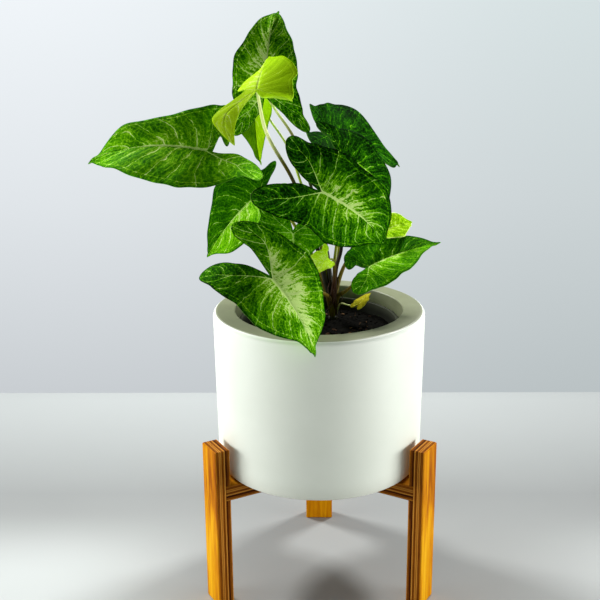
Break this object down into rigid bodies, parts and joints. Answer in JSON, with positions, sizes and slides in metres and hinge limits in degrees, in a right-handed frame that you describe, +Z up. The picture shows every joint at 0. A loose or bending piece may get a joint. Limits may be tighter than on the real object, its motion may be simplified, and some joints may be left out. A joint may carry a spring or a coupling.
{
  "type": "potted arrowhead plant",
  "caption": "Arrowhead plant with arrow-shaped green leaves on long stalks, in a round white pot on a low three-legged wooden stand.",
  "frame": {"origin": "on the floor plane under the middle of the whole plant, z = 0 at the feet; the pot's axis stands at x = 0.0405, y = 0.0021", "axes": "+Z up, +X to the right and -Y towards the viewer as seen from the front; the back leg is on +Y"},
  "size_m": [0.2677, 0.2247, 0.4392],
  "materials": {
    "outer_pot": "satin white glaze",
    "grow_pot": "black moulded plastic",
    "soil": "dark moist potting soil",
    "leg_left": "oiled plywood with an orange-brown face veneer",
    "leg_right": "oiled plywood with an orange-brown face veneer",
    "leg_back": "oiled plywood with an orange-brown face veneer",
    "stand_arms": "oiled plywood with an orange-brown face veneer",
    "stems": "olive stalks, brown-purple near the soil",
    "leaf_top": "green leaf, slightly glossy, with pale veins",
    "leaf_left": "green leaf, slightly glossy, with pale veins",
    "leaf_young": "young lime-green leaf",
    "leaf_hanging": "young lime-green leaf",
    "leaf_back": "green leaf, slightly glossy, with pale veins",
    "leaf_upper": "green leaf, slightly glossy, with pale veins",
    "leaf_centre": "green leaf, slightly glossy, with pale veins",
    "leaf_middle": "green leaf, slightly glossy, with pale veins",
    "leaf_front": "green leaf, slightly glossy, with pale veins",
    "leaf_right": "green leaf, slightly glossy, with pale veins",
    "leaf_folded": "young lime-green leaf",
    "leaf_behind": "green leaf, slightly glossy, with pale veins",
    "leaf_lime": "young lime-green leaf",
    "leaf_dry": "withered yellow leaf"
  },
  "bodies": {
    "root": {"outer_pot": "outer_pot", "grow_pot": "grow_pot", "soil": "soil", "leg_left": "leg_left", "leg_right": "leg_right", "leg_back": "leg_back", "stand_arms": "stand_arms", "stems": "stems", "leaf_top": "leaf_top", "leaf_left": "leaf_left", "leaf_young": "leaf_young", "leaf_hanging": "leaf_hanging", "leaf_back": "leaf_back", "leaf_upper": "leaf_upper", "leaf_centre": "leaf_centre", "leaf_middle": "leaf_middle", "leaf_front": "leaf_front", "leaf_right": "leaf_right", "leaf_folded": "leaf_folded", "leaf_behind": "leaf_behind", "leaf_lime": "leaf_lime", "leaf_dry": "leaf_dry"}
  },
  "joints": []
}
